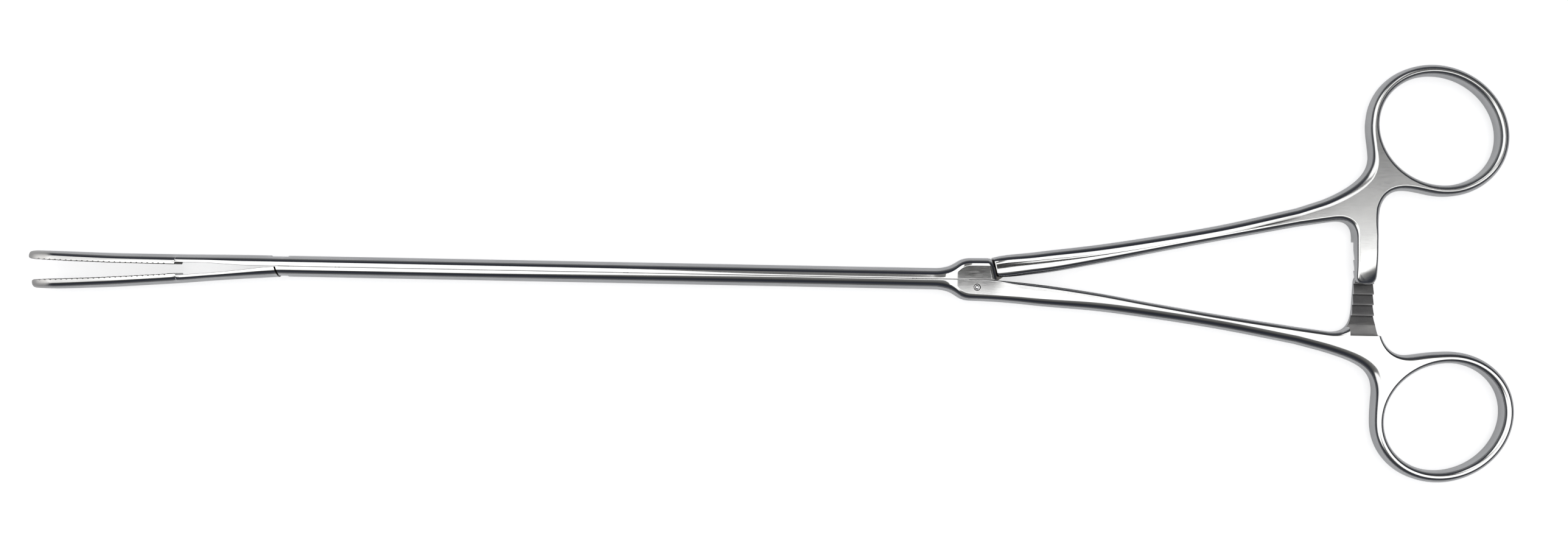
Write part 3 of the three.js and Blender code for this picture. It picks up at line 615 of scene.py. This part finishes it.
def upper_handle():
    inner_edge, outer_edge = (1.3, 1.8), (2.0, 1.9)
    shank = [
        rounded(4.85, 0.95, 4.65, 2.2, (0.9, 0.9), (1.2, 1.0), -0.25, CROWN),
        rounded(4.95, 0.75, 4.95, 2.5, (0.9, 0.9), (1.4, 1.2), -0.25, CROWN),
        rounded(5.15, 0.65, 5.05, 2.6, (1.0, 0.9), (1.5, 1.3), -0.25, CROWN),
        rounded(13.5, 1.5, 6.5, 2.5, inner_edge, (1.8, 1.9), 0, 0.045),
        rounded(27.4, 4.05, 8.4, 2.35, inner_edge, outer_edge, 0, CROWN),
        rounded(40, 6.75, 10.5, 2.25, (1.2, 1.8), outer_edge, 0, 0.02),
        rounded(55.3, 9.9, 13.4, HANDLE_HALF, (1.2, 1.8), outer_edge, 0, 0.012),
        rounded(SEAM_X, 13.45, 17.7, HANDLE_HALF, inner_edge, outer_edge),
    ]
    corner = UPPER_ARM_END + ARM_CORNER
    bottom = ring_point(UPPER_RING, UPPER_RING["wall"], -65)
    outline = (
        [(SEAM_X, 13.45)]
        + bezier((81, 14.75), (84.3, 15.2), (ARM_LEFT - 0.3, 14.3), (ARM_LEFT - 0.15, 11))
        + arc(ARM_LEFT + ARM_CORNER, corner, ARM_CORNER, 180, 270)
        + arc(ARM_RIGHT - ARM_CORNER, corner, ARM_CORNER, 270, 360)
        + bezier((ARM_RIGHT - 0.1, 10), (ARM_RIGHT - 0.1, 17), (91.2, 22.1), (97.2, 22.2))
        + bezier((97.2, 22.2), (99.6, 22.2), (bottom[0] - 2.6, bottom[1] + 0.2), bottom)
        + ring_arc(UPPER_RING, UPPER_RING["wall"], -65, 201)
    )
    shoulder = outline[-1]
    outline += bezier(shoulder, (88.3, 35.2), (89.3, 32.5), (89.35, 29.6))
    outline += bezier((89.35, 29.6), (89.4, 25.6), (85.2, 22.4), (79, 19.75))
    outline.append((SEAM_X, 17.7))
    body = joined(
        "upper_handle_body",
        bar(shank, SHANK_SPACING, open_end=True),
        plate(outline, UPPER_RING, (inner_edge, outer_edge), (0, 15), (UPPER_ARM_END, 8.4, 0.75)),
    )
    blade = (
        [(8, 4.0), (5, 2.95), (0, DRIVE_Y + 1.35)]
        + arc(0, DRIVE_Y, 1.35, 90, 180)
        + arc(0, PIVOT_Y, 1.5, 180, 315)
        + [(8, 2.0)]
    )
    combine(body, [prism(blade, -BLADE_HALF, BLADE_HALF)], "UNION")
    cuts = [
        block(ARM_CUT_LEFT, ARM_RIGHT + 1, -2, UPPER_ARM_CUT_END, -CUT_REACH, UPPER_ARM_BOTTOM),
        bore(0, PIVOT_Y, PIVOT_MOVING_HOLE),
        bore(0, DRIVE_Y, SMALL_MOVING_HOLE),
    ]
    for i in range(3):
        y = FIRST_TOOTH_Y + 0.15 + i * TOOTH_PITCH
        cuts.append(gullet(y + 0.2, y + TOOTH_PITCH - 0.1, UPPER_ARM_BOTTOM, -TOOTH_DEPTH))
    return combine(body, cuts, "DIFFERENCE")


def lower_handle():
    inner_edge, outer_edge = (0.9, 1.3), (2.2, 1.9)
    fork = JAW_BREAK_X + 0.2
    rod_and_shank = [
        half_round(fork, -0.2, -2.2, 2.2, -0.27),
        half_round(fork + 0.2, -SPLIT, -ROD_HALF, ROD_HALF, -0.27),
        half_round(fork + 4, -SPLIT, -ROD_HALF, ROD_HALF),
        *box_stations(-1),
        rounded(1, -SPLIT, -4.9, BOX_HALF, EDGE, (1.6, 1.8)),
        rounded(5, -SPLIT - 0.1, -5.05, BOX_HALF, (0.3, 0.3), (1.6, 1.8)),
        rounded(9.5, -0.45, -5.35, 2.6, (0.7, 0.8), (1.7, 1.8), 0, 0.008),
        rounded(14.1, -0.85, -5.75, 2.5, (0.8, 1.0), (1.8, 1.8), 0, 0.009),
        rounded(27.4, -2.5, -6.65, 2.35, (0.8, 1.2), (2.1, 1.9), 0, 0.008),
        rounded(39, -4.4, -7.95, 2.25, (0.8, 1.3), outer_edge),
        rounded(55.3, -6.9, -10.2, HANDLE_HALF, inner_edge, outer_edge),
        rounded(SEAM_X, -9.35, -13.3, HANDLE_HALF, inner_edge, outer_edge),
    ]
    start = ring_point(LOWER_RING, LOWER_RING["wall"], 160)
    outline = (
        [(SEAM_X, -13.3)]
        + bezier((79.5, -14.9), (87.5, -17.2), (91.2, -18.6), (91.1, -24.3))
        + bezier((91.1, -24.3), (91.0, -26.5), (90.8, -28.0), start)
        + ring_arc(LOWER_RING, LOWER_RING["wall"], 160, 428)
    )
    shoulder = outline[-1]
    corner = LOWER_ARM_END - ARM_CORNER
    outline += bezier(shoulder, (101.8, -14.7), (100.0, -15.4), (98.2, -15.4))
    outline += bezier((98.2, -15.4), (93.4, -15.4), (ARM_RIGHT - 0.1, -11), (ARM_RIGHT - 0.1, -3.9))
    outline += arc(ARM_RIGHT - 0.1 - ARM_CORNER, corner, ARM_CORNER, 0, 90)
    outline += arc(ARM_LEFT + 0.4 + ARM_CORNER, corner, ARM_CORNER, 90, 180)
    outline += bezier((ARM_LEFT + 0.1, -5), (ARM_LEFT - 0.3, -9.2), (84.6, -10.45), (81, -10.35))
    outline.append((SEAM_X, -9.35))
    body = joined(
        "lower_handle_body",
        bar(rod_and_shank, SHANK_SPACING, open_end=True),
        plate(outline, LOWER_RING, (outer_edge, inner_edge), (-11, 5)),
    )
    blade_slot = [(-2.1, 1), (-2.1, -3.55), (1.9, -3.55), (9.5, 1)]
    cuts = [
        block(ARM_CUT_LEFT, ARM_RIGHT + 1, LOWER_ARM_CUT_END, 5, LOWER_ARM_TOP, CUT_REACH),
        block(JAW_BREAK_X - 1, JAW_SLOT_BACK, -3, 1, -JAW_SLOT_HALF, JAW_SLOT_HALF),
        bore(JAW_PIN[0], -JAW_PIN[1], SMALL_HOLE, JAW_HOLE_TOP),
        bore(0, PIVOT_Y, PIVOT_HOLE),
        prism(blade_slot, -BLADE_SLOT_HALF, BLADE_SLOT_HALF),
    ]
    cuts += [cross_bore(x, STUD_HOLE, -1.8, 1) for x in STUD_XS]
    for i in range(4):
        y = FIRST_TOOTH_Y - i * TOOTH_PITCH
        cuts.append(gullet(y - 0.2, y - TOOTH_PITCH + 0.1, LOWER_ARM_TOP, TOOTH_DEPTH))
    return combine(body, cuts, "DIFFERENCE")


# ------------------------------------------------------------------ pins

def turned_pin(name, x, y, profile):
    """Pin turned about an upright axis from (radius, height) points."""
    sides = 48
    vertices, faces = [], []
    for radius, z in profile:
        for i in range(sides):
            a = 2 * math.pi * i / sides
            vertices.append((x + radius * math.cos(a), y + radius * math.sin(a), z))
    for r in range(len(profile) - 1):
        for i in range(sides):
            j = (i + 1) % sides
            faces.append([r * sides + i, r * sides + j, (r + 1) * sides + j, (r + 1) * sides + i])
    last = (len(profile) - 1) * sides
    faces.append(list(range(sides)))
    faces.append(list(range(last, last + sides)))
    return new_object(name, vertices, faces)


def pivot_pin():
    """Staked pin: a rounded rim round a shallow dimple, flush with the box face."""
    radius, half = 0.7, BOX_HALF - 0.02
    rim = [(radius - 0.1, -half), (radius, 0.1 - half)]
    for i in range(9):
        angle = math.radians(180 * i / 8)
        rim.append((radius - 0.14 + 0.14 * math.cos(angle), half - 0.14 + 0.14 * math.sin(angle)))
    dimple = [(0.38, half - 0.2), (0.27, half - 0.26), (0.14, half - 0.24), (0.03, half - 0.22)]
    return turned_pin("handle_pivot_pin_body", 0, PIVOT_Y, rim + dimple)


# ------------------------------------------------------------------ materials
# Where the finish changes, in metres of the frame, with the colour of the tips and the roughness
# that the tips and the rings add to the rest.

MATTE_TIP = 0.0064
MATTE_TIP_END = CAD_BOX[0].x + MATTE_TIP
MATTE_TIP_FULL = CAD_BOX[0].x + MATTE_TIP * 0.6
MATTE_COLOUR = (0.66, 0.655, 0.65)
MATTE_ROUGHNESS = 0.45
RING_SATIN = (0.12, 0.134)
LOWER_RING_SATIN = 0.07
UPPER_RING_SATIN = 0.12
UPPER_RING_Y = 0.02
WEAR_REACH = 0.00045


class Graph:
    """Short way to build a node tree."""

    def __init__(self, tree):
        self.tree = tree
        self.tree.nodes.clear()

    def add(self, kind, settings=None, **inputs):
        node = self.tree.nodes.new(kind)
        for key, value in (settings or {}).items():
            setattr(node, key, value)
        for key, value in inputs.items():
            self.feed(node, key.replace("_", " "), value)
        return node

    def feed(self, node, socket, value):
        """Links an output to a socket, or sets the socket's own value."""
        target = node.inputs[int(socket)] if socket.isdigit() else node.inputs[socket]
        if isinstance(value, bpy.types.NodeSocket):
            self.tree.links.new(value, target)
        else:
            target.default_value = value

    def math(self, operation, *values):
        node = self.add("ShaderNodeMath", {"operation": operation})
        for i, value in enumerate(values):
            self.feed(node, str(i), value)
        return node.outputs[0]

    def times(self, first, second):
        return self.math("MULTIPLY", first, second)

    def plus(self, first, second):
        return self.math("ADD", first, second)

    def minus(self, first, second):
        return self.math("SUBTRACT", first, second)

    def ramp(self, value, low, high, to_low=0.0, to_high=1.0, smooth=False):
        """Value from to_low at low to to_high at high, held beyond both."""
        kind = "SMOOTHSTEP" if smooth else "LINEAR"
        node = self.add("ShaderNodeMapRange", {"interpolation_type": kind, "clamp": True})
        for i, each in enumerate((value, low, high, to_low, to_high)):
            self.feed(node, str(i), each)
        return node.outputs[0]

    def band(self, value, rise, fall):
        """Value that rises to 1 over the first range and falls back to 0 over the second."""
        up = self.ramp(value, rise[0], rise[1], smooth=True)
        down = self.ramp(value, fall[1], fall[0], smooth=True)
        return self.times(up, down)

    def mix(self, share, first, second):
        """Blend of two colours, each an output or red, green and blue."""
        node = self.add("ShaderNodeMix", {"data_type": "RGBA"})
        self.feed(node, "0", share)
        for socket, colour in (("A", first), ("B", second)):
            linked = isinstance(colour, bpy.types.NodeSocket)
            self.feed(node, socket, colour if linked else (*colour, 1))
        return node.outputs["Result"]

    def noise(self, vector, scale, detail, roughness=0.5):
        values = {"Vector": vector, "Scale": scale, "Detail": detail, "Roughness": roughness}
        return self.add("ShaderNodeTexNoise", None, **values).outputs[0]

    def stretched(self, vector, scale):
        return self.add("ShaderNodeMapping", None, Vector=vector, Scale=scale).outputs[0]

    def coordinates(self, kind):
        return self.add("ShaderNodeTexCoord").outputs[kind]

    def parts(self, vector):
        return self.add("ShaderNodeSeparateXYZ", None, Vector=vector).outputs

    def finish(self, shader, kind="ShaderNodeOutputMaterial"):
        self.feed(self.add(kind), "Surface", shader.outputs[0])


def new_material(name):
    """Material without nodes, and the graph to build them with."""
    material = bpy.data.materials.new(name)
    material.use_nodes = True
    return material, Graph(material.node_tree)


def steel(name, light, dark, smooth, rough, grain, brushed):
    """Ground and satin-finished stainless steel.

    light and dark are the two tones that drift over the surface, smooth and rough the range of
    roughness, grain the depth of the fine finish in metres, brushed the share of it that runs
    along the tool. The tips of the jaws are matte, and the rings are duller than the rest."""
    material, g = new_material(name)
    place = g.coordinates("Object")
    cloud = g.noise(place, 90.0, 3.0)
    fine = g.noise(place, 2600.0, 4.0, 0.6)
    lines = g.noise(g.stretched(place, (220.0, 9000.0, 9000.0)), 1.0, 3.0, 0.6)
    marks = g.noise(g.stretched(place, (500.0, 2200.0, 2200.0)), 1.0, 2.0)
    worn = g.add("ShaderNodeAttribute", {"attribute_name": "wear"}).outputs["Fac"]
    rubbed = g.times(worn, g.ramp(cloud, 0.35, 0.6, 0.35, 1.0))
    x, y, _ = g.parts(place)
    matte = g.ramp(x, MATTE_TIP_END, MATTE_TIP_FULL, smooth=True)

    tone = g.ramp(g.plus(g.times(cloud, 0.75), g.times(fine, 0.25)), 0.36, 0.64)
    colour = g.mix(tone, dark, light)
    polished = [min(1.0, c * 1.22) for c in light]
    colour = g.mix(g.times(rubbed, 0.6), colour, polished)
    colour = g.mix(matte, colour, MATTE_COLOUR)

    gloss = g.ramp(g.plus(g.times(lines, 0.5), g.times(marks, 0.5)), 0.3, 0.7, smooth, rough)
    gloss = g.minus(gloss, g.times(rubbed, smooth * 0.35))
    gloss = g.plus(gloss, g.times(matte, MATTE_ROUGHNESS))
    satin = g.ramp(y, 0.0, UPPER_RING_Y, LOWER_RING_SATIN, UPPER_RING_SATIN, smooth=True)
    satin = g.times(satin, g.ramp(x, *RING_SATIN, smooth=True))
    gloss = g.plus(gloss, satin)

    finish = g.plus(g.times(lines, brushed), g.times(fine, 1 - 0.5 * brushed))
    bump = g.add("ShaderNodeBump", None, Height=finish, Distance=grain, Strength=0.6)
    shader = g.add("ShaderNodeBsdfPrincipled", None, Normal=bump.outputs[0], Metallic=1.0)
    g.feed(shader, "Base Color", colour)
    g.feed(shader, "Roughness", gloss)
    g.finish(shader)
    return material


# ------------------------------------------------------------------ finishing

def is_sharp(edge):
    return len(edge.link_faces) == 2 and edge.calc_face_angle(0) > SHARP


def mark_wear(obj):
    """Vertex value that is 1 on crisp edges and falls off as a bell curve WEAR_REACH wide."""
    mesh = obj.data
    bm = bmesh.new()
    bm.from_mesh(mesh)
    crisp = [(e.verts[0].co + e.verts[1].co) / 2 for e in bm.edges if is_sharp(e)]
    crisp += [v.co.copy() for v in bm.verts if any(is_sharp(e) for e in v.link_edges)]
    bm.free()
    tree = kdtree.KDTree(len(crisp))
    for i, point in enumerate(crisp):
        tree.insert(point, i)
    tree.balance()
    values = np.zeros(len(mesh.vertices), np.float32)
    if crisp:
        for v in mesh.vertices:
            distance = tree.find(v.co)[2]
            values[v.index] = math.exp(-((distance / WEAR_REACH) ** 2))
    attribute = mesh.attributes.new("wear", "FLOAT", "POINT")
    attribute.data.foreach_set("value", values)


def recessed(place, normal):
    """True for a serration, or for a face in a slot, between the halves or in the gap at a joint.
    These faces get a near-black colour that is painted shade.
    """
    if place.x < JAW_ROOT_X:
        on_pad = PAD_START_X < place.x < PAD_END_X + 0.2
        towards_pad = -1 if place.y > -0.6 else 1
        return on_pad and towards_pad * normal.y > 0.25
    slot_depth = 3.95 if place.x > -2.3 else 1.62
    if place.x < 5.0 and abs(place.z) < 1.2 and abs(place.y) < slot_depth:
        return True
    at_handle_gap = 4.2 < place.x < 5.1 and place.y > 0.3
    at_jaw_gap = abs(place.x - JAW_BREAK_X) < 1
    return (at_handle_gap or at_jaw_gap) and abs(normal.x) > 0.75


def milled(place, normal):
    """True for the ratchet teeth and the half-thickness floor of the lower arm. These faces get a
    rough milled finish whose dark colour is painted shade.
    """
    on_arm = place.x > ARM_CUT_LEFT and LOWER_ARM_CUT_END + 0.05 < place.y < 3
    return on_arm and -1.1 < place.z < LOWER_ARM_TOP + 0.01 and abs(normal.x) < 0.5


def finish_piece(obj, material, body, node):
    """Moves a piece from drawing millimetres to the frame, shades it and hangs it on a body."""
    mesh = obj.data
    places = [(p.center.copy(), p.normal.copy()) for p in mesh.polygons]
    # Faces in serrations, slots and joint gaps take a near-black colour, which is painted shade.
    finish = [1 if recessed(*each) else 2 if milled(*each) else 0 for each in places]
    mesh.transform(Matrix.Translation(ORIGIN) @ Matrix.Scale(MM, 4))
    mesh.materials.clear()
    # The milled material's roughness is the real milled finish; its dark colour is painted shade.
    for each in (material, RECESS_SHADE, MILLED_WITH_SHADE)[:max(finish) + 1]:
        mesh.materials.append(each)
    mesh.polygons.foreach_set("use_smooth", [each != 2 for each in finish])
    mesh.polygons.foreach_set("material_index", finish)
    mesh.set_sharp_from_angle(angle=SHARP)
    mark_wear(obj)
    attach(obj, body)
    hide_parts(node)


STEEL = steel(
    "satin_steel", light=(0.55, 0.555, 0.56), dark=(0.48, 0.485, 0.495),
    smooth=0.05, rough=0.1, grain=0.0000011, brushed=0.8,
)
# Rough milled steel for the ratchet zone. The roughness is the real milled finish; its dark colour
# is painted shade.
MILLED_WITH_SHADE = steel(
    "milled_steel_painted_shade", light=(0.17, 0.17, 0.172), dark=(0.11, 0.11, 0.115),
    smooth=0.36, rough=0.5, grain=0.00002, brushed=0.3,
)
# Near-black steel for serrations, slots and joint gaps: painted shade, not a different finish.
RECESS_SHADE = steel(
    "recess_painted_shade", light=(0.12, 0.115, 0.11), dark=(0.07, 0.068, 0.066),
    smooth=0.4, rough=0.55, grain=0.00001, brushed=0.3,
)
PIN = steel(
    "pin_steel", light=(0.52, 0.52, 0.53), dark=(0.44, 0.445, 0.455),
    smooth=0.12, rough=0.2, grain=0.000003, brushed=0.2,
)

finish_piece(lower_handle(), STEEL, "fixed_handle", "lower_handle")
finish_piece(upper_handle(), STEEL, "moving_handle", "upper_handle")
finish_piece(upper_shaft(), STEEL, "sliding_shaft", "upper_shaft")
finish_piece(lower_jaw(), STEEL, "moving_jaw", "lower_jaw")
finish_piece(pivot_pin(), PIN, "fixed_handle", "handle_pivot_pin")

for name in ("drive_pin", "jaw_pivot_pin", "jaw_link_pin",
             "guide_stud_front", "guide_stud_middle", "guide_stud_rear"):
    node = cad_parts[name]
    node.data.materials.clear()
    node.data.materials.append(PIN)


# ------------------------------------------------------------------ studio

CAMERA = Vector((0.0027, -0.0023, 0.3227))
CAMERA_TURN = math.radians(1.117)
LENS = 32.13
FLOOR_DROP = 0.0002
PANEL_HEIGHT = 0.9
PANEL_STRENGTH = 2.0
FLOOR_GLOW_SEEN = 0.62
FLOOR_GLOW_MIRRORED = 0.14


def add_object(name, data):
    obj = bpy.data.objects.new(name, data)
    bpy.context.scene.collection.objects.link(obj)
    return obj


def sheet(name, segments, half_side, material):
    """Flat square sheet."""
    mesh = bpy.data.meshes.new(name)
    bm = bmesh.new()
    bmesh.ops.create_grid(bm, x_segments=segments, y_segments=segments, size=half_side)
    bm.to_mesh(mesh)
    bm.free()
    mesh.materials.append(material)
    return add_object(name, mesh)


def pale_floor():
    """White paper with a glow of its own, strong for the camera and weak in reflections."""
    material, g = new_material("pale_floor")
    fleck = g.noise(g.coordinates("Object"), 60.0, 3.0)
    shader = g.add("ShaderNodeBsdfPrincipled", None, Roughness=0.9)
    g.feed(shader, "Base Color", g.mix(fleck, (0.86, 0.86, 0.86), (0.9, 0.9, 0.895)))
    g.feed(shader, "Emission Color", (1.0, 1.0, 1.0, 1.0))
    ray = g.add("ShaderNodeLightPath").outputs
    seen = g.times(ray["Is Camera Ray"], FLOOR_GLOW_SEEN)
    mirrored = g.times(ray["Is Glossy Ray"], FLOOR_GLOW_MIRRORED)
    g.feed(shader, "Emission Strength", g.plus(seen, mirrored))
    g.finish(shader)
    return material


def softbox_glow():
    """Light of the panel over its own plane, x along the tool and y across it, in metres.

    The white field has soft borders. The near one lies further out over the jaws than over the
    handles, and the far one comes in over the rear of the shaft. The box and the upper ring
    mirror two dark patches."""
    material, g = new_material("softbox_glow")
    x, y, _ = g.parts(g.coordinates("Object"))
    left = g.ramp(x, -0.68, -0.6, 0.6, 1.0, smooth=True)
    right = g.ramp(x, 0.88, 0.78, smooth=True)
    over_shaft = g.band(x, (-0.2, 0.02), (0.13, 0.17))
    far = g.ramp(g.plus(y, g.times(over_shaft, 0.6)), 0.9, 0.82, smooth=True)
    near_edge = g.plus(g.ramp(x, -0.31, 0.0, -0.62, -0.2), g.ramp(x, 0.15, 0.4, 0.0, -0.14))
    near = g.ramp(g.minus(y, near_edge), -0.1, 0.05, smooth=True)
    white = g.times(g.times(left, right), g.times(far, near))

    box_near = g.minus(y, g.ramp(x, 0.18, 0.26, 0.0, 0.03))
    box_ends = g.times(
        g.ramp(box_near, -0.017, -0.008, smooth=True),
        g.ramp(y, 0.12, 0.1, smooth=True),
    )
    box_patch = g.times(g.band(x, (0.096, 0.124), (0.41, 0.47)), box_ends)
    ring_patch = g.times(
        g.ramp(x, 0.3, 0.46, smooth=True),
        g.ramp(y, 0.042, 0.068, smooth=True),
    )
    shade = g.times(
        g.ramp(box_patch, 0.0, 1.0, 1.0, 0.03),
        g.ramp(ring_patch, 0.0, 1.0, 1.0, 0.06),
    )

    spill = g.ramp(y, -0.95, -0.4, 0.06, 0.3)
    strength = g.times(g.plus(g.times(white, PANEL_STRENGTH), spill), shade)
    emission = g.add("ShaderNodeEmission", None, Strength=strength)
    g.feed(emission, "Color", (1.0, 0.99, 0.965, 1.0))
    g.finish(emission)
    return material


def overhead_light():
    """Broad light for the floor, kept out of the reflections in the steel."""
    light = bpy.data.lights.new("overhead", "SUN")
    light.energy = 1.6
    light.angle = math.radians(110)
    obj = add_object("overhead", light)
    obj.rotation_euler = (math.radians(-8), 0, 0)
    obj.visible_glossy = False


def room():
    """Pale backdrop for the camera, and walls that darken upwards for everything else."""
    world = bpy.data.worlds.new("room")
    bpy.context.scene.world = world
    world.use_nodes = True
    g = Graph(world.node_tree)
    seen = g.add("ShaderNodeLightPath").outputs["Is Camera Ray"]
    _, _, upwards = g.parts(g.coordinates("Generated"))
    rise = g.ramp(upwards, 0.02, 0.45, smooth=True)
    walls = g.mix(rise, (0.27, 0.27, 0.27), (0.05, 0.054, 0.07))
    backdrop = g.add("ShaderNodeBackground", None, Strength=1.0)
    g.feed(backdrop, "Color", g.mix(seen, walls, (0.86, 0.87, 0.88)))
    g.finish(backdrop, "ShaderNodeOutputWorld")


def overhead_camera():
    data = bpy.data.cameras.new("camera")
    data.sensor_width = 36.0
    data.lens = LENS
    data.clip_start = 0.01
    data.clip_end = 20.0
    camera = add_object("camera", data)
    camera.location = CAMERA
    camera.rotation_euler = (0, 0, CAMERA_TURN)
    bpy.context.scene.camera = camera


floor = sheet("floor", 8, 4.0, pale_floor())
floor.location = (0, 0, CAD_BOX[0].z - FLOOR_DROP)

panel = sheet("softbox", 2, 1.0, softbox_glow())
panel.location = (CAMERA.x, CAMERA.y, PANEL_HEIGHT)
panel.visible_camera = False
panel.visible_diffuse = False
panel.visible_shadow = False

overhead_light()
room()
overhead_camera()
bpy.context.scene.view_settings.view_transform = "Standard"
